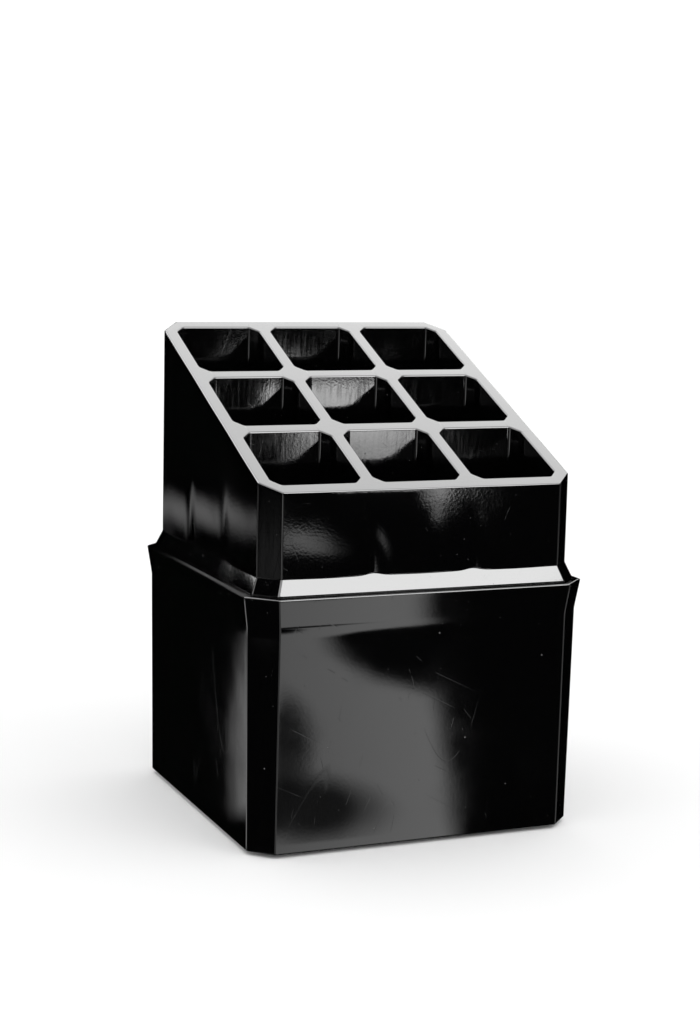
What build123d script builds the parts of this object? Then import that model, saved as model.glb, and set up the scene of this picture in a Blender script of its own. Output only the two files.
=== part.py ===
from build123d import *
import os

# Two-piece desk organizer: an open box and a lift-off rack of nine cells that plugs into its mouth.
# Millimetres, +Z up. X is the width, and the low front of the rack faces -Y.
# The origin is on the table, under the middle of the box.

# ---- driving dimensions ----

# feet: four soft discs stuck in shallow pockets under the box
foot_diameter = 10.0
foot_thickness = 1.5
foot_pocket_depth = 0.5
foot_pocket_gap = 0.2           # radial room around each disc
foot_edge_round = 0.4
foot_inset = 12.0               # from the foot of the box wall to the disc's axis

# base box
box_foot_half = 45.0            # half the width across flats at the table end
box_foot_cut = 5.6              # corner cut, measured along each side
box_height = 64.7
box_wall = 2.6
box_floor = 2.6
box_edge_round = 0.6            # rounding of the eight upright edges
box_foot_bevel = 0.4
band_foot_half = 45.65          # the walls lean out slowly to here, then faster to the rim
band_foot_cut = 6.3
rim_band_height = 7.8
rim_half = 46.75
rim_cut = 6.7
rim_bevel = 0.4
rim_wall = 3.4
box_corner_round = 2.5          # rounding of the upright inside corners
box_floor_round = 1.5           # rounding between the inside walls and the floor

# rack
rack_half = 43.0
rack_cut = 4.8
rack_edge_round = 0.8
rack_front_height = 25.7        # from the seat on the box rim to the low front edge
rack_back_height = 62.5         # from the seat to the high back edge
rack_top_round = 0.5
skirt_half = 44.6               # the sloped ledge spreads to this at the seat
skirt_cut = 5.1
skirt_edge_height = 0.4         # upright edge under the slope
skirt_height = 4.2              # from the seat to the foot of the rack's upright wall
lip_gap = 0.25                  # room between the lip and the inside of the box, each side
lip_depth = 6.0
lip_wall = 2.1
lip_lead = 0.8                  # taper that guides the lip into the box
rack_floor = 2.6
cell_floor_rise = 4.3           # from the seat to the floor of the cells

# cells: three columns by three rows
cell_count = 3
cell_width = 24.0
partition = 3.4
cell_cut = 2.3
cell_edge_round = 1.2
cell_draft_run = 0.3            # each cell wall leans in by this much down to the floor
cell_floor_round = 1.0
cell_mouth_round = 0.4

# shrink grooves, where the partitions meet the outer walls
groove_radius = 15.0
groove_depth = 0.25             # at the ledge; the groove fades out towards the top edge
groove_top_margin = 2.0

# ---- derived values ----
box_z = foot_thickness - foot_pocket_depth
seat_z = box_z + box_height
box_mouth_half = rim_half - rim_wall
box_mouth_cut = rim_cut - rim_wall * (2 - 2**0.5)
cell_pitch = cell_width + partition
floor_z = seat_z + cell_floor_rise
ledge_z = seat_z + skirt_height
front_z = seat_z + rack_front_height
back_z = seat_z + rack_back_height
tall = 2 * back_z               # longer than anything it cuts


def octagon(z, half, cut, corner_round):
    """Flat outline at height z: a square of the given half width with cut, softly rounded corners."""
    inner = half - cut
    corners = [
        (-inner, -half), (inner, -half), (half, -inner), (half, inner),
        (inner, half), (-inner, half), (-half, inner), (-half, -inner),
    ]
    outline = make_face(Polyline(*corners, close=True))
    outline = fillet(outline.vertices(), corner_round)
    return Pos(0, 0, z) * outline


def inset(half, cut, distance):
    """Half width and corner cut of the outline moved inwards by a distance on every side."""
    return half - distance, cut - distance * (2 - 2**0.5)


def stack(sections, corner_round):
    """Closed solid through outlines given as (z, half width, corner cut), from bottom to top."""
    outlines = [octagon(z, half, cut, corner_round) for z, half, cut in sections]
    return loft(outlines, ruled=True)


def foot_places():
    """Name and centre of each foot."""
    reach = box_foot_half - foot_inset
    sides = {"front_left": (-1, -1), "front_right": (1, -1), "back_left": (-1, 1), "back_right": (1, 1)}
    return {name: (reach * x, reach * y) for name, (x, y) in sides.items()}


def make_foot(x, y):
    """Soft disc with a rounded lower edge, standing on the table."""
    disc = Cylinder(foot_diameter / 2, foot_thickness, align=(Align.CENTER, Align.CENTER, Align.MIN))
    disc = fillet(disc.edges().group_by(Axis.Z)[0], foot_edge_round)
    return Pos(x, y, 0) * disc


def make_base_box():
    """Open box: drafted walls, a rim band that leans out further, and foot pockets underneath."""
    shell = stack([
        (box_z, *inset(box_foot_half, box_foot_cut, box_foot_bevel)),
        (box_z + box_foot_bevel, box_foot_half, box_foot_cut),
        (seat_z - rim_band_height, band_foot_half, band_foot_cut),
        (seat_z - rim_bevel, rim_half, rim_cut),
        (seat_z, *inset(rim_half, rim_cut, rim_bevel)),
    ], box_edge_round)

    inner_foot = inset(box_foot_half, box_foot_cut, box_wall)
    cavity = stack([
        (box_z + box_floor, *inner_foot),
        (seat_z + box_wall, box_mouth_half, box_mouth_cut),
    ], box_corner_round)
    cavity = fillet(cavity.faces().sort_by(Axis.Z)[0].edges(), box_floor_round)
    box = shell - cavity

    pocket = Cylinder(
        foot_diameter / 2 + foot_pocket_gap, foot_pocket_depth,
        align=(Align.CENTER, Align.CENTER, Align.MIN),
    )
    for x, y in foot_places().values():
        box -= Pos(x, y, box_z) * pocket
    return box


def top_plane():
    """Plane of the sloping top, with its normal upwards."""
    rise = back_z - front_z
    front_middle = (0, -rack_half, front_z)
    return Plane(origin=front_middle, x_dir=(1, 0, 0), z_dir=(0, -rise, 2 * rack_half))


def make_cell(column, row):
    """Cutting tool for one cell: narrower at its rounded floor, and open upwards."""
    x = (column - (cell_count - 1) / 2) * cell_pitch
    y = (row - (cell_count - 1) / 2) * cell_pitch
    floor_half = cell_width / 2 - cell_draft_run
    tool = stack([
        (floor_z, floor_half, cell_cut),
        (back_z, cell_width / 2, cell_cut),
        (tall, cell_width / 2, cell_cut),
    ], cell_edge_round)
    tool = fillet(tool.faces().sort_by(Axis.Z)[0].edges(), cell_floor_round)
    return Pos(x, y, 0) * tool


def top_z(y):
    """Height of the sloping top at a given depth."""
    return front_z + (back_z - front_z) * (y + rack_half) / (2 * rack_half)


def make_groove(turn, along):
    """Leaning cylinder that leaves a shallow groove in one wall, deepest at the ledge."""
    wall_foot = Vector(along, -rack_half, 0).rotate(Axis.Z, turn)
    height = top_z(wall_foot.Y) - groove_top_margin - ledge_z
    lean = groove_depth / height
    below = groove_top_margin
    start = Vector(along, -rack_half - groove_radius + groove_depth + lean * below, ledge_z - below)
    disc = Plane(origin=start, z_dir=(0, -lean, 1)) * Circle(groove_radius)
    upper_half = (Align.CENTER, Align.CENTER, Align.MIN)
    above_ledge = Pos(0, 0, ledge_z) * Box(tall, tall, tall, align=upper_half)
    return Rot(0, 0, turn) * (extrude(disc, height + below) & above_ledge)


def make_rack():
    """Nine-cell rack: sloped skirt, upright walls, sloping top, cells, and a lip underneath."""
    body = stack([
        (seat_z, skirt_half, skirt_cut),
        (seat_z + skirt_edge_height, skirt_half, skirt_cut),
        (ledge_z, rack_half, rack_cut),
        (back_z, rack_half, rack_cut),
    ], rack_edge_round)
    lip_half = box_mouth_half - lip_gap
    lip_cut = box_mouth_cut - lip_gap * (2 - 2**0.5)
    body += stack([
        (seat_z - lip_depth, *inset(lip_half, lip_cut, lip_lead / 2)),
        (seat_z - lip_depth + lip_lead, lip_half, lip_cut),
        (seat_z + skirt_edge_height, lip_half, lip_cut),
    ], rack_edge_round)
    body -= stack([
        (seat_z - 2 * lip_depth, *inset(lip_half, lip_cut, lip_wall)),
        (floor_z - rack_floor, *inset(lip_half, lip_cut, lip_wall)),
    ], rack_edge_round)
    for turn in (0, 90, 180, 270):
        for along in (-cell_pitch / 2, cell_pitch / 2):
            body -= make_groove(turn, along)
    body = split(body, bisect_by=top_plane(), keep=Keep.BOTTOM)
    for column in range(cell_count):
        for row in range(cell_count):
            body -= make_cell(column, row)
    up_slope = Axis((0, 0, 0), top_plane().z_dir)
    top_face = body.faces().sort_by(up_slope)[-1]
    mouths = [wire.edges() for wire in top_face.inner_wires()]
    body = fillet([edge for mouth in mouths for edge in mouth], cell_mouth_round)
    top_face = body.faces().sort_by(up_slope)[-1]
    return fillet(top_face.outer_wire().edges(), rack_top_round)


os.makedirs("parts", exist_ok=True)
export_step(make_base_box(), "parts/base_box.step")
export_step(make_rack(), "parts/nine_cell_rack.step")
for name, (x, y) in foot_places().items():
    export_step(make_foot(x, y), f"parts/foot_{name}.step")
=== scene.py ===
import math

import bmesh
import bpy
import numpy as np
from mathutils import Matrix, Vector


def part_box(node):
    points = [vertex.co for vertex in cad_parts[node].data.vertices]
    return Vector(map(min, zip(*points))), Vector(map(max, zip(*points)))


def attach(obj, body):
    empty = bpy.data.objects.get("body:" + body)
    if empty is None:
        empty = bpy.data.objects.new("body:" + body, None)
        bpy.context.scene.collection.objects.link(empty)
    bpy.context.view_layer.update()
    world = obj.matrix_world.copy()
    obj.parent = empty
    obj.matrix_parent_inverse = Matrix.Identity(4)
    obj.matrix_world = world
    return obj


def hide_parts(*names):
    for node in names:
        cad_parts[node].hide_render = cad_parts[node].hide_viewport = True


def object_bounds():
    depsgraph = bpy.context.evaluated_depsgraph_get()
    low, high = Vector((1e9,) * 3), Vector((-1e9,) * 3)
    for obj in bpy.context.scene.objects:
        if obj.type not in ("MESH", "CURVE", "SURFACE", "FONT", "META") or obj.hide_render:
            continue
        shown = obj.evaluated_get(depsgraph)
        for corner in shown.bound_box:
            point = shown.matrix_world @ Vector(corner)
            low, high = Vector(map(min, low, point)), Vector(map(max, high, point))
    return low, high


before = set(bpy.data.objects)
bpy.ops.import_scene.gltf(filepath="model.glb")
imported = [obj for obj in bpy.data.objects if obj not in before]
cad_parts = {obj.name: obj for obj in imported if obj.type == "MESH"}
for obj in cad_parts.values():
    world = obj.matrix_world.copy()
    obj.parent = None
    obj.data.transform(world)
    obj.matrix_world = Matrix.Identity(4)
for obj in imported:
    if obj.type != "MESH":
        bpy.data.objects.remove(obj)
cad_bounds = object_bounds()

# The nine-cell desk organizer's looks. Shapes are worked out in millimetres, in the CAD frame,
# and become metres when a mesh is made.
MM = 0.001

# ---- sizes that the CAD nodes' own boxes give ----
box_low, box_high = [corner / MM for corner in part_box("base_box")]
rack_low, rack_high = [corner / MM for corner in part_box("nine_cell_rack")]
box_z = box_low.z
seat_z = box_high.z
rim_half = box_high.x
skirt_half = rack_high.x
lip_z = rack_low.z

# ---- sizes inside those boxes, the same as in the CAD source ----
box_foot_half, box_foot_cut = 45.0, 5.6
band_foot_half, band_foot_cut = 45.65, 6.3
box_floor = 2.6
box_wall = 2.6
box_edge_round = 0.6
box_foot_bevel = 0.4
box_corner_round = 2.5
box_floor_round = 1.5
rim_band_height = 7.8
rim_cut = 6.7
rim_bevel = 0.4
rim_wall = 3.4
foot_radius = 5.0
foot_edge_round = 0.4
foot_pocket_gap = 0.2
foot_pocket_depth = 0.5
rack_half, rack_cut = 43.0, 4.8
rack_edge_round = 0.8
rack_front_height, rack_back_height = 25.7, 62.5
rack_top_round = 0.5
skirt_cut = 5.1
skirt_edge_height = 0.4
skirt_height = 4.2
lip_gap = 0.25
lip_wall = 2.1
lip_lead = 0.8
rack_floor = 2.6
cell_floor_rise = 4.3
cell_count = 3
cell_width = 24.0
partition = 3.4
cell_cut = 2.3
cell_edge_round = 1.2
cell_draft_run = 0.3
cell_floor_round = 1.0
cell_mouth_round = 0.4
groove_depth = 0.25
groove_top_margin = 2.0

# ---- small shapes that only this model has ----
groove_width = 2.4          # how far a groove spreads to each side of its middle
pillow_height = 0.06        # swelling of the rack's sides between their grooves
wall_swell = 0.04           # slow unevenness of the walls
swell_margin = 6.0          # on the rack, the unevenness fades out this near a wall's top and foot
crease = 0.12               # height over which a bend between a wall and the slope beside it is softened
skirt_edge_round = 0.15     # rounding at the foot of the ledge
box_mouth_round = 0.3       # rounding of the rim's inner edge
foot_hollow = 0.08          # depth of the hollow in a foot's sole
least_round = 0.05          # keeps the corners of a cell's floor from coming to a point

# ---- values that follow from the sizes ----
top_slope = (rack_back_height - rack_front_height) / (2 * rack_half)
ledge_slope = (skirt_height - skirt_edge_height) / (skirt_half - rack_half)
cell_pitch = cell_width + partition
front_z = seat_z + rack_front_height
floor_z = seat_z + cell_floor_rise
ledge_z = seat_z + skirt_height
cut_factor = 2 - math.sqrt(2)   # how much a corner cut shrinks as its outline moves inwards by 1
far_off = 1e3                   # stands for the place along a side where a point is on no long side


def top_z(y):
    """Height of the rack's sloping top at a given depth."""
    return front_z + top_slope * (y + rack_half)


def mix(start, end, part):
    """Value a part of the way from a start to an end."""
    return start + (end - start) * part


class Outline:
    """Points round a square with cut, rounded corners, with the outward direction at each point."""

    def __init__(self, long_steps, cut_steps, arc_steps):
        self.long_steps = long_steps
        self.cut_steps = cut_steps
        self.arc_steps = arc_steps

    def points(self, half, cut, corner_round):
        """Places, outward directions, and distances from the middle along a long side."""
        inner = half - cut
        corners = np.array([
            (-inner, -half), (inner, -half), (half, -inner), (half, inner),
            (inner, half), (-inner, half), (-half, inner), (-half, -inner),
        ])
        tangent = corner_round * math.tan(math.pi / 8)
        places, outwards, along = [], [], []
        for side in range(8):
            start, end = corners[side], corners[(side + 1) % 8]
            length = np.linalg.norm(end - start)
            direction = (end - start) / length
            outward = np.array([direction[1], -direction[0]])
            is_long = side % 2 == 0
            steps = self.long_steps if is_long else self.cut_steps
            for step in range(steps + 1):
                distance = tangent + (length - 2 * tangent) * step / steps
                places.append(start + direction * distance)
                outwards.append(outward)
                along.append(distance - length / 2 if is_long else far_off)
            centre = end - direction * tangent - outward * corner_round
            for step in range(1, self.arc_steps):
                turn = math.pi / 4 * step / self.arc_steps
                rotated = np.array([
                    outward[0] * math.cos(turn) - outward[1] * math.sin(turn),
                    outward[0] * math.sin(turn) + outward[1] * math.cos(turn),
                ])
                places.append(centre + rotated * corner_round)
                outwards.append(rotated)
                along.append(far_off)
        return np.array(places), np.array(outwards), np.array(along)


class Shell:
    """A closed mesh built from rings of points, strips between rings, and filled flat faces."""

    def __init__(self):
        self.mesh = bmesh.new()

    def ring(self, places, heights):
        """New vertices at (x, y) places and their heights, in millimetres."""
        heights = np.broadcast_to(heights, (len(places),))
        return [
            self.mesh.verts.new((x * MM, y * MM, z * MM))
            for (x, y), z in zip(places, heights)
        ]

    def strip(self, ring_a, ring_b):
        """Quads between two rings of the same length."""
        count = len(ring_a)
        for i in range(count):
            j = (i + 1) % count
            self.mesh.faces.new((ring_a[i], ring_a[j], ring_b[j], ring_b[i]))

    def strips(self, rings):
        """Quads between each ring and the next."""
        for ring_a, ring_b in zip(rings, rings[1:]):
            self.strip(ring_a, ring_b)

    def cap(self, ring):
        """One flat face inside a ring."""
        self.mesh.faces.new(ring)

    def plate(self, rings):
        """Flat face inside the first ring, with the other rings as holes in it."""
        edges = []
        for ring in rings:
            for i in range(len(ring)):
                pair = (ring[i], ring[(i + 1) % len(ring)])
                edges.append(self.mesh.edges.get(pair) or self.mesh.edges.new(pair))
        bmesh.ops.triangle_fill(self.mesh, use_beauty=True, use_dissolve=False, edges=edges)

    def finish(self, name, body, node, material):
        """Turns the rings into an object that rides on a body and stands for a CAD node."""
        bmesh.ops.recalc_face_normals(self.mesh, faces=self.mesh.faces)
        for face in self.mesh.faces:
            face.smooth = True
        data = bpy.data.meshes.new(name)
        self.mesh.to_mesh(data)
        self.mesh.free()
        data.materials.append(material)
        piece = bpy.data.objects.new(name, data)
        bpy.context.scene.collection.objects.link(piece)
        weighted = piece.modifiers.new("flat faces stay flat", "WEIGHTED_NORMAL")
        weighted.mode = "FACE_AREA"
        weighted.weight = 90
        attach(piece, body)
        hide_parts(node)
        return piece


rack_outline = Outline(long_steps=72, cut_steps=4, arc_steps=5)
box_outline = Outline(long_steps=40, cut_steps=4, arc_steps=5)
cell_outline = Outline(long_steps=8, cut_steps=2, arc_steps=4)


def inset(half, cut, distance):
    """Half width and corner cut of an outline moved inwards by a distance."""
    return half - distance, cut - distance * cut_factor


def quarter(steps):
    """Pairs (1 - sine, 1 - cosine) over a quarter turn, from (1, 0) to (0, 1)."""
    turns = [math.pi / 2 * step / steps for step in range(steps + 1)]
    return [(1 - math.sin(turn), 1 - math.cos(turn)) for turn in turns]


def gentle_wave(places, heights, phase):
    """Slow unevenness of a moulded wall, between -1 and 1."""
    x, y = places[:, 0], places[:, 1]
    slow = np.sin(x / 17.0 + phase) * np.cos(heights / 23.0 + 0.7 * phase)
    slower = np.cos(y / 21.0 - phase) * np.sin(heights / 31.0 + 1.9 + phase)
    return 0.5 * (slow + slower)


# ---- the rack ----

def groove_shape(along):
    """Depth of the two shrink grooves along a side of the rack."""
    left = np.exp(-(((along + cell_pitch / 2) / groove_width) ** 2))
    right = np.exp(-(((along - cell_pitch / 2) / groove_width) ** 2))
    return groove_depth * (left + right)


def pillow_shape(along):
    """Slight swelling of a side of the rack between its grooves: 0 at a crest, negative elsewhere."""
    away = np.abs(along)
    outer_length = rack_half - rack_cut - cell_pitch / 2
    inner = np.cos(math.pi * away / cell_pitch) ** 2
    outer = np.sin(math.pi * (away - cell_pitch / 2) / outer_length) ** 2
    shape = np.where(away < cell_pitch / 2, inner, outer)
    return pillow_height * (np.where(away < rack_half - rack_cut, shape, 0.0) - 1)


def top_edge(places, outwards, part):
    """Rounded edge between a wall of the rack (part 0) and the sloping top (part 1)."""
    climb = top_slope * outwards[:, 1]
    turn = part * (math.pi / 2 + np.arctan(climb))
    centres = places - outwards * rack_top_round
    rounded = centres + outwards * (rack_top_round * np.cos(turn))[:, None]
    return rounded, top_z(centres[:, 1]) + rack_top_round * (np.sin(turn) - np.sqrt(1 + climb ** 2))


def add_cell(shell, column, row):
    """One cell's rounded mouth, walls and rounded floor; returns its ring in the sloping top."""
    centre = (np.array([column, row]) - (cell_count - 1) / 2) * cell_pitch
    half = cell_width / 2
    rings = []
    for out, down in quarter(5):
        grown = inset(half, cell_cut, -cell_mouth_round * out)
        places, _, _ = cell_outline.points(*grown, cell_edge_round + cell_mouth_round * out)
        places = places + centre
        rings.append(shell.ring(places, top_z(places[:, 1]) - cell_mouth_round * down))

    mouth_z = top_z(places[:, 1]) - cell_mouth_round
    low_z = floor_z + cell_floor_round
    wall_steps = 8
    for step in range(1, wall_steps + 1):
        part = step / wall_steps
        places, _, _ = cell_outline.points(half - cell_draft_run * part, cell_cut, cell_edge_round)
        rings.append(shell.ring(places + centre, mix(mouth_z, low_z, part)))

    for rise, inwards in quarter(5)[1:]:
        shrunk = inset(half - cell_draft_run, cell_cut, cell_floor_round * inwards)
        corner_round = cell_edge_round - cell_floor_round * inwards + least_round
        places, _, _ = cell_outline.points(*shrunk, corner_round)
        rings.append(shell.ring(places + centre, floor_z + cell_floor_round * rise))
    shell.strips(rings)
    shell.cap(rings[-1])
    return rings[0]


def rack_wall_rings(shell):
    """Rings from the edge of the sloping top down the grooved wall to its foot."""
    places, outwards, along = rack_outline.points(rack_half, rack_cut, rack_edge_round)
    groove = groove_shape(along)
    pillow = pillow_shape(along)
    places = places + outwards * pillow[:, None]
    rings = []
    for part in (1.0, 0.83, 0.67, 0.5, 0.33, 0.17, 0.0):
        rounded, wall_top = top_edge(places, outwards, part)
        rings.append(shell.ring(rounded, wall_top))

    foot_z = ledge_z + ledge_slope * (groove - pillow)
    wall_steps = 28
    heights = [mix(wall_top, foot_z, step / wall_steps) for step in range(1, wall_steps)]
    for z in [*heights, foot_z + crease, foot_z]:
        fade = (wall_top - z - groove_top_margin) / (wall_top - foot_z - groove_top_margin)
        depth = groove * np.clip(fade, 0, 1) ** 2
        calm = np.clip(np.minimum(wall_top - z, z - foot_z) / swell_margin, 0, 1)
        swell = wall_swell * gentle_wave(places, z, phase=1.3) * calm
        rings.append(shell.ring(places - outwards * (depth - swell)[:, None], z))
    return rings


def ledge_rings(shell):
    """Rings down the sloped ledge and round its blunt foot to the seat."""
    edge_z = seat_z + skirt_edge_height
    rings = []
    for part in (0.03, 0.2, 0.4, 0.6, 0.8, 0.97):
        half = mix(rack_half, skirt_half, part)
        cut = mix(rack_cut, skirt_cut, part)
        places, outwards, along = rack_outline.points(half, cut, rack_edge_round)
        # The dents that the wall's foot makes in the ledge end a fifth of the way down.
        top_depth = (groove_shape(along) - pillow_shape(along)) * max(0.0, 1 - 5 * part)
        heights = mix(ledge_z, edge_z, part) + ledge_slope * top_depth
        rings.append(shell.ring(places - outwards * top_depth[:, None], heights))
    # Inset and height of each ring round the foot.
    for foot_inset, z in (
        (0.01, edge_z + 0.02), (0.0, edge_z - 0.06),
        (0.0, seat_z + skirt_edge_round), (0.05, seat_z + 0.04), (skirt_edge_round, seat_z),
    ):
        places, _, _ = rack_outline.points(*inset(skirt_half, skirt_cut, foot_inset), rack_edge_round)
        rings.append(shell.ring(places, z))
    return rings


def lip_rings(shell):
    """Rings down the outside of the lip, round its end and up its inside to the rack's underside."""
    mouth = inset(rim_half, rim_cut, rim_wall)
    lip = inset(*mouth, lip_gap)
    underside_z = floor_z - rack_floor
    rings = []
    # Inset and height of each ring.
    for lip_inset, z in (
        (0.0, seat_z), (0.0, lip_z + lip_lead),
        (0.15, lip_z + 0.3), (lip_lead / 2, lip_z + 0.02), (lip_wall - 0.3, lip_z),
        (lip_wall - 0.05, lip_z + 0.1), (lip_wall, lip_z + 0.4),
        (lip_wall, underside_z - 0.6), (lip_wall + 0.2, underside_z - 0.2), (lip_wall + 0.7, underside_z),
    ):
        places, _, _ = rack_outline.points(*inset(*lip, lip_inset), rack_edge_round)
        rings.append(shell.ring(places, z))
    return rings


def make_rack(material):
    """Rack with sloping top, nine cells, shrink grooves, sloped ledge and the lip underneath."""
    shell = Shell()
    rings = rack_wall_rings(shell) + ledge_rings(shell) + lip_rings(shell)
    shell.strips(rings)
    shell.cap(rings[-1])
    mouths = [add_cell(shell, column, row) for row in range(cell_count) for column in range(cell_count)]
    shell.plate([rings[0], *mouths])
    return shell.finish("rack_moulding", "rack", "nine_cell_rack", material)


# ---- the base box ----

def foot_centres():
    """Name and middle of each foot, from the CAD nodes."""
    centres = {}
    for name in ("front_left", "front_right", "back_left", "back_right"):
        low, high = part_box("foot_" + name)
        centres[name] = ((low + high) / 2 / MM)
    return centres


def circle(centre, radius):
    """Points round an upright axis."""
    steps = 40
    turns = [2 * math.pi * step / steps for step in range(steps)]
    return np.array([(centre.x + radius * math.cos(t), centre.y + radius * math.sin(t)) for t in turns])


def box_ring(shell, half, cut, corner_round, z, swell=0.0):
    """Ring of the box at one height, uneven by up to the swell."""
    places, outwards, _ = box_outline.points(half, cut, corner_round)
    heights = np.full(len(places), z)
    places = places + outwards * (swell * gentle_wave(places, heights, phase=0.4))[:, None]
    return shell.ring(places, heights)


def box_outside_rings(shell):
    """Rings from the bevelled foot up the wall and the rim band, and over the rim's outer edge."""
    rings = []
    for up, inwards in reversed(quarter(4)):
        foot = inset(box_foot_half, box_foot_cut, box_foot_bevel * inwards)
        rings.append(box_ring(shell, *foot, box_edge_round, box_z + box_foot_bevel * up))

    low_z = box_z + box_foot_bevel
    band_z = seat_z - rim_band_height
    wall_steps = 24
    for step in range(1, wall_steps + 1):
        part = step / wall_steps
        half = mix(box_foot_half, band_foot_half, part)
        cut = mix(box_foot_cut, band_foot_cut, part)
        # The swell fades out over the wall's lowest and highest sixth.
        swell = wall_swell * min(1.0, 6 * part, 6 * (1 - part))
        rings.append(box_ring(shell, half, cut, box_edge_round, mix(low_z, band_z - crease, part), swell))

    band_top = seat_z - rim_bevel
    band_steps = 6
    for step in range(1, band_steps + 1):
        z = mix(band_z + crease, band_top, step / band_steps)
        part = (z - band_z) / (band_top - band_z)
        half = mix(band_foot_half, rim_half, part)
        cut = mix(band_foot_cut, rim_cut, part)
        rings.append(box_ring(shell, half, cut, box_edge_round, z))

    for down, inwards in quarter(6)[1:]:
        rim = inset(rim_half, rim_cut, rim_bevel * inwards)
        rings.append(box_ring(shell, *rim, box_edge_round, seat_z - rim_bevel * down))
    return rings


def box_inside_rings(shell):
    """Rings from the rim's inner edge down the inside walls and round to the floor."""
    mouth = inset(rim_half, rim_cut, rim_wall)
    inner_foot = inset(box_foot_half, box_foot_cut, box_wall)
    floor_top = box_z + box_floor
    rings = []
    for out, down in quarter(4):
        grown = inset(*mouth, -box_mouth_round * out)
        rings.append(box_ring(shell, *grown, box_corner_round, seat_z - box_mouth_round * down))

    wall_steps = 8
    for step in range(1, wall_steps + 1):
        part = step / wall_steps
        half = mix(mouth[0], inner_foot[0], part)
        cut = mix(mouth[1], inner_foot[1], part)
        z = mix(seat_z - box_mouth_round, floor_top + box_floor_round, part)
        rings.append(box_ring(shell, half, cut, box_corner_round, z))

    for rise, inwards in quarter(5)[1:]:
        shrunk = inset(*inner_foot, box_floor_round * inwards)
        # The corners tighten as the wall turns into the floor, but never come to a point.
        corner_round = box_corner_round - 0.9 * box_floor_round * inwards
        rings.append(box_ring(shell, *shrunk, corner_round, floor_top + box_floor_round * rise))
    return rings


def add_foot_pocket(shell, centre):
    """Shallow round pocket in the box's underside; returns its ring in the underside."""
    hole = circle(centre, foot_radius + foot_pocket_gap)
    edge = shell.ring(hole, box_z)
    top = shell.ring(hole, box_z + foot_pocket_depth)
    shell.strip(edge, top)
    shell.cap(top)
    return edge


def make_box(material):
    """Open box with drafted walls, a rim band that leans out further, and pockets for the feet."""
    shell = Shell()
    rings = box_outside_rings(shell) + box_inside_rings(shell)
    shell.strips(rings)
    shell.cap(rings[-1])
    pockets = [add_foot_pocket(shell, centre) for centre in foot_centres().values()]
    shell.plate([rings[0], *pockets])
    return shell.finish("box_moulding", "box", "base_box", material)


def make_foot(name, centre, material):
    """Soft round pad with a rounded edge and a slightly hollow sole."""
    low, high = [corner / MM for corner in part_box("foot_" + name)]
    shell = Shell()
    rings = [shell.ring(circle(centre, foot_radius), high.z)]
    for rise, inwards in quarter(6):
        edge = circle(centre, foot_radius - foot_edge_round * inwards)
        rings.append(shell.ring(edge, low.z + foot_edge_round * rise))
    for part in (0.85, 0.6, 0.3):
        rings.append(shell.ring(circle(centre, foot_radius * part), low.z + foot_hollow * (1 - part)))
    shell.strips(rings)
    shell.cap(rings[0])
    shell.cap(rings[-1])
    return shell.finish("foot_pad_" + name, "box", "foot_" + name, material)


# ---- materials ----

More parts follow.
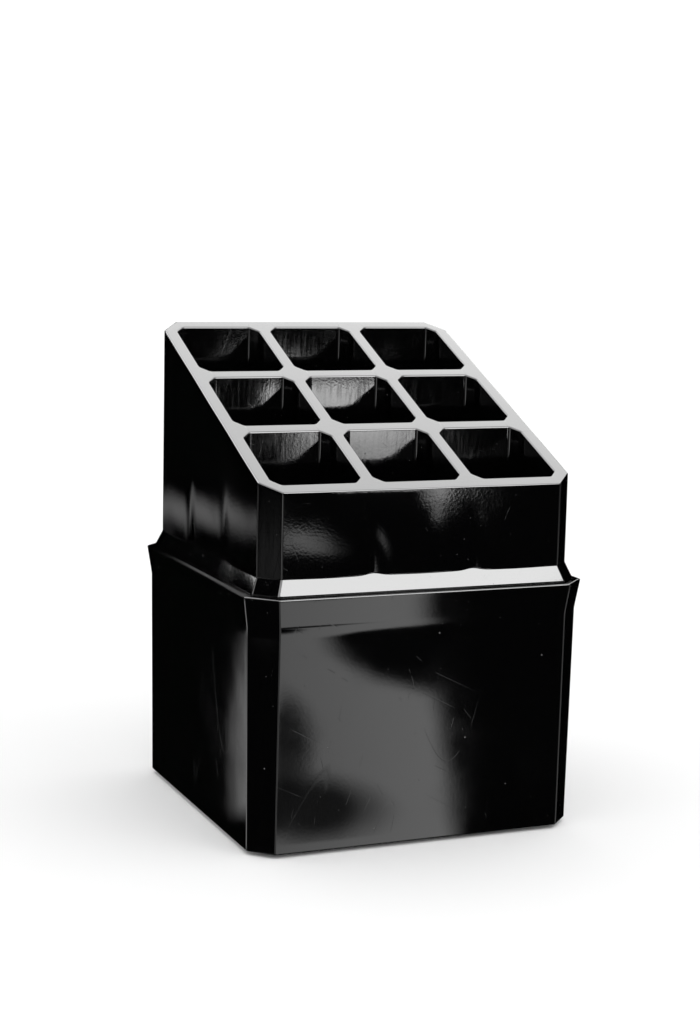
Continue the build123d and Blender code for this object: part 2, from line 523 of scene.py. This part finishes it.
class Nodes:
    """Short ways to add and join shader nodes."""

    def __init__(self, name):
        self.material = bpy.data.materials.new(name)
        self.material.use_nodes = True
        self.tree = self.material.node_tree
        self.tree.nodes.clear()
        self.shader = self.tree.nodes.new("ShaderNodeBsdfPrincipled")
        self.output = self.tree.nodes.new("ShaderNodeOutputMaterial")
        self.join(self.shader.outputs["BSDF"], self.output.inputs["Surface"])

    def join(self, source, target):
        """Link from an output socket to an input socket."""
        self.tree.links.new(source, target)

    def add(self, kind, **settings):
        """New node of a kind, with its own settings."""
        node = self.tree.nodes.new("ShaderNode" + kind)
        for key, value in settings.items():
            setattr(node, key, value)
        return node

    def value(self, node, socket, value):
        """Constant on a node's socket."""
        node.inputs[socket].default_value = value

    def place(self, stretch=1.0, turn=(0, 0, 0)):
        """Object coordinates, turned, and then stretched along the turned Z."""
        coordinates = self.add("TexCoord")
        mapping = self.add("Mapping", vector_type="TEXTURE")
        self.join(coordinates.outputs["Object"], mapping.inputs["Vector"])
        self.value(mapping, "Scale", (1, 1, stretch))
        self.value(mapping, "Rotation", turn)
        return mapping.outputs["Vector"]

    def noise(self, vector, scale, detail=4.0):
        """Soft noise around 0.5. The scale is in waves per metre."""
        node = self.add("TexNoise")
        self.join(vector, node.inputs["Vector"])
        self.value(node, "Scale", scale)
        self.value(node, "Detail", detail)
        self.value(node, "Roughness", 0.55)
        return node.outputs["Fac"]

    def map(self, source, low, high, to_low, to_high, smooth=False):
        """A range of values moved to another range, and held inside it."""
        node = self.add("MapRange", clamp=True)
        if smooth:
            node.interpolation_type = "SMOOTHSTEP"
        self.join(source, node.inputs["Value"])
        self.value(node, "From Min", low)
        self.value(node, "From Max", high)
        self.value(node, "To Min", to_low)
        self.value(node, "To Max", to_high)
        return node.outputs["Result"]

    def math(self, operation, a, b):
        """Sum, product and so on of two sockets or numbers."""
        node = self.add("Math", operation=operation)
        for socket, source in zip(node.inputs, (a, b)):
            if isinstance(source, (int, float)):
                socket.default_value = source
            else:
                self.join(source, socket)
        return node.outputs["Value"]

    def base_colour(self, factor, dark, light):
        """Grey of the shader, from a dark one to a light one with a factor."""
        mixed = self.add("Mix", data_type="RGBA")
        self.join(factor, mixed.inputs["Factor"])
        mixed.inputs["A"].default_value = (*dark, 1)
        mixed.inputs["B"].default_value = (*light, 1)
        self.join(mixed.outputs["Result"], self.shader.inputs["Base Color"])

    def bump(self, relief, strength, distance):
        """Small relief of the shader."""
        node = self.add("Bump")
        self.value(node, "Strength", strength)
        self.value(node, "Distance", distance)
        self.join(relief, node.inputs["Height"])
        self.join(node.outputs["Normal"], self.shader.inputs["Normal"])

    def hairlines(self, turn, scale, gap_level, length):
        """Thin, broken scratches along one direction: 1 on a scratch, 0 off it.

        A scratch runs where stretched noise crosses 0.5. A second noise leaves gaps: all of it below
        the gap level is free of scratches, and the length, in millimetres, sets how often that changes.
        """
        stretch = 30.0
        field = self.noise(self.place(stretch, turn), scale, detail=0.0)
        away = self.math("ABSOLUTE", self.math("SUBTRACT", field, 0.5), 0.0)
        line = self.map(away, 0.0, 1.5 * scale * scratch_width * MM, 1.0, 0.0)
        gaps = self.noise(self.place(), 0.5 / (length * MM), detail=1.0)
        return self.math("MULTIPLY", line, self.map(gaps, gap_level, gap_level + 0.05, 0.0, 1.0))

    def specks(self, scale, size, share):
        """Small round dust specks on a random share of the cells of a pattern."""
        cells = self.add("TexVoronoi", feature="F1")
        self.join(self.place(), cells.inputs["Vector"])
        self.value(cells, "Scale", scale)
        dot = self.map(cells.outputs["Distance"], size * 0.6, size, 1.0, 0.0, smooth=True)
        split = self.add("SeparateColor")
        self.join(cells.outputs["Color"], split.inputs["Color"])
        chosen = self.math("GREATER_THAN", split.outputs["Red"], 1.0 - share)
        return self.math("MULTIPLY", dot, chosen)

    def inside(self, half):
        """1 nearer the upright middle line than a square of this half width, 0 outside it."""
        split = self.add("SeparateXYZ")
        self.join(self.place(), split.inputs["Vector"])
        across = self.math("ABSOLUTE", split.outputs["X"], 0.0)
        deep = self.math("ABSOLUTE", split.outputs["Y"], 0.0)
        return self.math("LESS_THAN", self.math("MAXIMUM", across, deep), half)


# Sets of hairline scratches: turn of their direction, scale, level that leaves gaps, length in millimetres.
scratch_sets = (
    ((0.0, 0.42, 0.0), 34.0, 0.52, 14.0),
    ((0.5, 0.0, 0.0), 40.0, 0.57, 9.0),
    ((0.0, -1.1, 0.0), 46.0, 0.60, 7.0),
    ((0.2, 0.3, 0.0), 110.0, 0.58, 2.6),
    ((-0.3, -0.7, 0.0), 130.0, 0.60, 1.8),
)
scratch_width = 0.022   # millimetres


def black_plastic(name, seed, grain_height, worn_half):
    """Polished black styrene: deep gloss, faint smears, hairline scratches, scuffed cells and dust.

    The seed makes the pattern of each moulding its own. Scuffs lie inside the worn half width, in metres.
    """
    n = Nodes(name)
    n.value(n.shader, "IOR", 1.58)

    smear = n.map(n.noise(n.place(), 32.0 + seed, detail=6.0), 0.45, 0.72, 0.0, 1.0, smooth=True)
    scratches = 0.0
    for turn, scale, gap_level, length in scratch_sets:
        scratches = n.math("MAXIMUM", scratches, n.hairlines(turn, scale + seed, gap_level, length))
    streaks = n.map(n.noise(n.place(16.0, (0.05, 0.08, seed)), 1500.0, detail=3.0), 0.40, 0.75, 0.15, 1.0)
    worn = n.map(n.noise(n.place(), 70.0, detail=3.0), 0.35, 0.6, 0.35, 1.0)
    scuffs = n.math("MULTIPLY", n.math("MULTIPLY", streaks, worn), n.inside(worn_half))
    dust = n.math("MAXIMUM", n.specks(620.0, 0.06, 0.35), n.specks(240.0, 0.055, 0.3))
    ripple = n.noise(n.place(), 60.0, detail=1.0)
    grain = n.noise(n.place(), 1400.0, detail=2.0)

    rough = n.map(smear, 0.0, 1.0, 0.035, 0.085)
    relief = n.math("MULTIPLY", n.math("MULTIPLY", grain, n.map(smear, 0.0, 1.0, 0.4, 1.0)), grain_height)
    relief = n.math("ADD", relief, n.math("MULTIPLY", ripple, 0.30))
    # What each mark adds to the roughness and to the relief.
    for mark, rougher, higher in ((scratches, 0.04, -0.024), (scuffs, 0.10, -0.04), (dust, 0.5, 0.10)):
        rough = n.math("ADD", rough, n.math("MULTIPLY", mark, rougher))
        relief = n.math("ADD", relief, n.math("MULTIPLY", mark, higher))

    n.base_colour(dust, (0.0010, 0.0010, 0.0011), (0.10, 0.10, 0.10))
    n.join(rough, n.shader.inputs["Roughness"])
    n.bump(relief, 0.12, 0.0006)
    return n.material


def soft_rubber():
    """Matt black foot pads."""
    n = Nodes("soft_rubber")
    grain = n.noise(n.place(), 900.0, detail=3.0)
    n.base_colour(grain, (0.018, 0.018, 0.019), (0.040, 0.040, 0.042))
    n.join(n.map(grain, 0.2, 0.8, 0.62, 0.82), n.shader.inputs["Roughness"])
    n.bump(grain, 0.4, 0.0001)
    return n.material


def pale_floor():
    """Even, pale floor with a trace of unevenness and no gloss."""
    n = Nodes("pale_floor")
    n.base_colour(n.noise(n.place(), 3.0), (0.92, 0.92, 0.92), (0.94, 0.94, 0.94))
    n.value(n.shader, "Roughness", 0.9)
    n.value(n.shader, "Specular IOR Level", 0.0)
    return n.material


# ---- floor, light and camera ----

def flat_square(name, reach, material):
    """Square in its own X and Y, out to a reach on each side of its middle."""
    data = bpy.data.meshes.new(name)
    corners = [(-reach, -reach, 0), (reach, -reach, 0), (reach, reach, 0), (-reach, reach, 0)]
    data.from_pydata(corners, [], [(0, 1, 2, 3)])
    data.materials.append(material)
    square = bpy.data.objects.new(name, data)
    bpy.context.scene.collection.objects.link(square)
    return square


def add_floor():
    """Wide flat floor under the feet. The gloss plastic doesn't mirror it, so the walls stay black."""
    floor = flat_square("floor", 4.0, pale_floor())
    floor.visible_glossy = False


def direction(azimuth, elevation):
    """Unit vector: azimuth 0 is the front (-Y), and it grows towards +X."""
    a, e = math.radians(azimuth), math.radians(elevation)
    return Vector((math.sin(a) * math.cos(e), -math.cos(a) * math.cos(e), math.sin(e)))


def add_softbox(middle):
    """Area light from the front right. It lights the floor and the dust; cards make the reflections."""
    azimuth, elevation, distance = 31, 38, 1.2
    light = bpy.data.lights.new("front_right_softbox", "AREA")
    light.shape = "SQUARE"
    light.size = 0.8
    light.energy = 1.5
    lamp = bpy.data.objects.new("front_right_softbox", light)
    bpy.context.scene.collection.objects.link(lamp)
    way = direction(azimuth, elevation)
    lamp.location = middle + way * distance
    lamp.rotation_euler = way.to_track_quat("Z", "Y").to_euler()
    lamp.visible_glossy = False


def glow(name, left, right, edge, squareness, opacity):
    """Light of a card with soft edges, from a left to a right radiance. A card of radiance 0 is dark."""
    n = Nodes(name)
    n.tree.nodes.remove(n.shader)
    split = n.add("SeparateXYZ")
    n.join(n.place(), split.inputs["Vector"])
    terms = []
    for axis in ("X", "Y"):
        size = n.math("ABSOLUTE", split.outputs[axis], 0.0)
        terms.append(n.math("POWER", size, squareness))
    reach = n.math("POWER", n.math("ADD", *terms), 1.0 / squareness)
    mask = n.map(reach, 1.0 - edge, 1.0 + edge, opacity, 0.0, smooth=True)
    emission = n.add("Emission")
    n.join(n.map(split.outputs["X"], -1.0, 1.0, left, right), emission.inputs["Strength"])
    clear = n.add("BsdfTransparent")
    mixed = n.add("MixShader")
    n.join(mask, mixed.inputs["Fac"])
    n.join(clear.outputs["BSDF"], mixed.inputs[1])
    n.join(emission.outputs["Emission"], mixed.inputs[2])
    n.join(mixed.outputs["Shader"], n.output.inputs["Surface"])
    n.material.cycles.emission_sampling = "NONE"
    return n.material


card_gap = 0.002   # how far each card of a wall hangs in front of the last, in metres


class Wall:
    """An unseen flat wall of the studio that faces the object and holds cards. Only gloss sees them."""

    def __init__(self, name, middle, azimuth, elevation, distance):
        way = direction(azimuth, elevation)
        self.name = name
        self.middle = middle + way * distance
        self.turn = way.to_track_quat("Z", "Y")
        self.count = 0

    def card(self, at, half, light, edge=0.3, squareness=2.0, opacity=1.0, tilt=0.0):
        """A soft card. Its place on the wall and its half size are in millimetres, across and up.

        The light is one radiance, or a left and a right one. Each card hangs in front of the last.
        """
        self.count += 1
        name = f"{self.name}_{self.count}"
        left, right = light if isinstance(light, tuple) else (light, light)
        card = flat_square(name, 1.0 + edge, glow(name, left, right, edge, squareness, opacity))
        nearer = -card_gap * self.count
        card.location = self.middle + self.turn @ Vector((at[0] * MM, at[1] * MM, nearer))
        tilted = Matrix.Rotation(math.radians(tilt), 3, "Z")
        card.rotation_euler = (self.turn.to_matrix() @ tilted).to_euler()
        card.scale = (half[0] * MM, half[1] * MM, 1)
        card.visible_camera = False
        card.visible_diffuse = False
        card.visible_shadow = False


def hang_front_cards(middle):
    """The shapes that the polished walls mirror at the photograph's angle."""
    overhead = Wall("overhead", middle, azimuth=0, elevation=89.9, distance=0.84)
    overhead.card(at=(0, 0), half=(1240, 1240), light=4.8, edge=0.12)

    # The bright front of the ledge, with the cut corner beside it kept dark.
    corner_flag = Wall("corner_flag", middle, azimuth=-77, elevation=40, distance=0.8)
    corner_flag.card(at=(0, 0), half=(150, 110), light=0.0, edge=0.3)
    ledge_light = Wall("ledge_light", middle, azimuth=30, elevation=35, distance=0.9)
    ledge_light.card(at=(-10, 120), half=(170, 250), light=14.5, edge=0.06, squareness=8)

    # Small lights high at the back left and low at the back right, for edges and ledges there.
    side_light = Wall("side_light", middle, azimuth=-139, elevation=42, distance=0.8)
    side_light.card(at=(0, 0), half=(130, 130), light=12.0, edge=0.3)
    back_light = Wall("back_light", middle, azimuth=145, elevation=17, distance=1.0)
    back_light.card(at=(0, 0), half=(200, 60), light=3.0, edge=0.3)

    # The box's front: a large grey patch with three dark blots in it.
    front = Wall("front", middle, azimuth=25, elevation=-12, distance=0.6)
    front.card(at=(-78.8, -88), half=(77, 96), light=(1.0, 2.15), edge=0.10, squareness=10, tilt=9)
    front.card(at=(-2, -5), half=(66, 37), light=0.0, edge=0.13)
    front.card(at=(-87, -72), half=(14, 24), light=0.0, edge=0.35)
    front.card(at=(-82, -104), half=(44, 15), light=0.0, edge=0.45, opacity=0.94)
    # The back walls of the cells.
    front.card(at=(-30, 109), half=(26, 33), light=(2.5, 9.5), edge=0.06, squareness=8, tilt=90)
    # The rack's front: a wedge with a tail, and a smear at the left.
    front.card(at=(-8, 79), half=(13, 9), light=(1.0, 4.6), edge=0.18, squareness=4)
    front.card(at=(-4, 66), half=(5, 5), light=1.6, edge=0.7)
    front.card(at=(-85, 47), half=(28, 6), light=(2.3, 0.6), edge=0.6, tilt=-7)

    # The left sides: an upright band on the box, cut off below, and bands across the rack's swellings.
    left = Wall("left", middle, azimuth=-161, elevation=-13, distance=0.6)
    left.card(at=(68, -75), half=(11.8, 65), light=0.62, edge=0.35)
    left.card(at=(60, -125), half=(34, 20), light=0.0, edge=0.3)
    left.card(at=(37, 65), half=(46, 6.5), light=0.42, edge=0.9, tilt=-9)
    left.card(at=(-50, 86), half=(45, 10), light=0.36, edge=0.9, tilt=-25)
    left_ledge = Wall("left_ledge", middle, azimuth=-161, elevation=8, distance=0.6)
    left_ledge.card(at=(84, 8), half=(16, 11), light=5.0, edge=0.4)
    left_rim = Wall("left_rim", middle, azimuth=-171, elevation=22, distance=0.6)
    left_rim.card(at=(0, 0), half=(60, 25), light=0.6, edge=0.5)

    # The front left corner: its two upright edges, and a trace of light between them.
    edge_light = Wall("edge_light", middle, azimuth=-115, elevation=-22, distance=0.7)
    edge_light.card(at=(0, 0), half=(190, 85), light=3.2, edge=0.6)
    low_front = Wall("low_front", middle, azimuth=-40, elevation=-3, distance=0.8)
    low_front.card(at=(0, 0), half=(125, 110), light=(1.0, 2.6), edge=0.5)
    corner = Wall("corner", middle, azimuth=-69.5, elevation=-10, distance=0.6)
    corner.card(at=(27, 14), half=(14, 30), light=0.2, edge=0.7)


def hang_outer_cards(middle):
    """Soft bands all round, so that the walls are not plain black from the other sides."""
    steps = 16
    for step in range(steps):
        azimuth = 360 / steps * step
        # One step in four faces the photograph's mirror directions, and stays dark in the middle.
        if step % 4 == 1:
            low = Wall(f"low_{step}", middle, azimuth=azimuth, elevation=-43, distance=0.7)
            low.card(at=(0, 0), half=(60, 110), light=(0.4, 2.2), edge=0.5, tilt=12)
            for beside in (-18, 18):
                name = f"slim_{step}_{beside}"
                slim = Wall(name, middle, azimuth=azimuth + beside, elevation=-20, distance=0.72)
                slim.card(at=(0, 0), half=(26, 160), light=1.6, edge=0.7)
        else:
            around = Wall(f"around_{step}", middle, azimuth=azimuth, elevation=-22, distance=0.7)
            around.card(at=(0, 0), half=(52, 240), light=(0.3, 2.2), edge=0.7, tilt=12)
    for azimuth in (-45, 45, 135, 180, 225):
        high = Wall(f"high_{azimuth % 360}", middle, azimuth=azimuth, elevation=30, distance=0.8)
        high.card(at=(0, 0), half=(90, 70), light=(2.0, 4.5), edge=0.5)
    for azimuth in (-79, 79):
        grazing = Wall(f"grazing_{azimuth % 360}", middle, azimuth=azimuth, elevation=11, distance=0.8)
        grazing.card(at=(0, 0), half=(150, 90), light=(1.2, 2.0), edge=0.5)
    top_light = Wall("top_light", middle, azimuth=-108, elevation=26, distance=0.8)
    top_light.card(at=(0, 0), half=(150, 90), light=3.0, edge=0.5)


def add_world():
    """Even white fill. The gloss doesn't mirror it, so only the cards show on the plastic."""
    world = bpy.data.worlds.new("studio")
    bpy.context.scene.world = world
    world.use_nodes = True
    background = world.node_tree.nodes["Background"]
    background.inputs["Color"].default_value = (1, 1, 1, 1)
    background.inputs["Strength"].default_value = 1.16
    world.cycles_visibility.glossy = False


def add_camera(middle):
    """Long lens from the front left, a little above the object, tipped slightly."""
    azimuth, elevation, tip = -23.05, 8.51, 1.32
    distance = 0.5319
    aim = middle + Vector((-0.0022, 0.0, 0.0143))
    camera_data = bpy.data.cameras.new("camera")
    camera_data.sensor_width = 36.0
    camera_data.lens = 68.8
    camera_data.clip_start = 0.01
    camera = bpy.data.objects.new("camera", camera_data)
    bpy.context.scene.collection.objects.link(camera)
    way = direction(azimuth, elevation)
    camera.location = aim + way * distance
    level = way.to_track_quat("Z", "Y").to_matrix()
    camera.rotation_euler = (level @ Matrix.Rotation(math.radians(tip), 3, "Z")).to_euler()
    bpy.context.scene.camera = camera


bpy.context.scene.view_settings.view_transform = "Standard"
middle = Vector((0.0, 0.0, (cad_bounds[0][2] + cad_bounds[1][2]) / 2))

add_camera(middle)
add_world()
add_floor()
hang_front_cards(middle)
hang_outer_cards(middle)
add_softbox(middle)

make_box(black_plastic("box_black", seed=0.0, grain_height=0.03, worn_half=0.0))
worn_half = (cell_pitch + cell_width / 2 + 2.0) * MM   # just past the outer walls of the outer cells
make_rack(black_plastic("rack_black", seed=1.7, grain_height=0.12, worn_half=worn_half))
rubber = soft_rubber()
for foot_name, foot_centre in foot_centres().items():
    make_foot(foot_name, foot_centre, rubber)
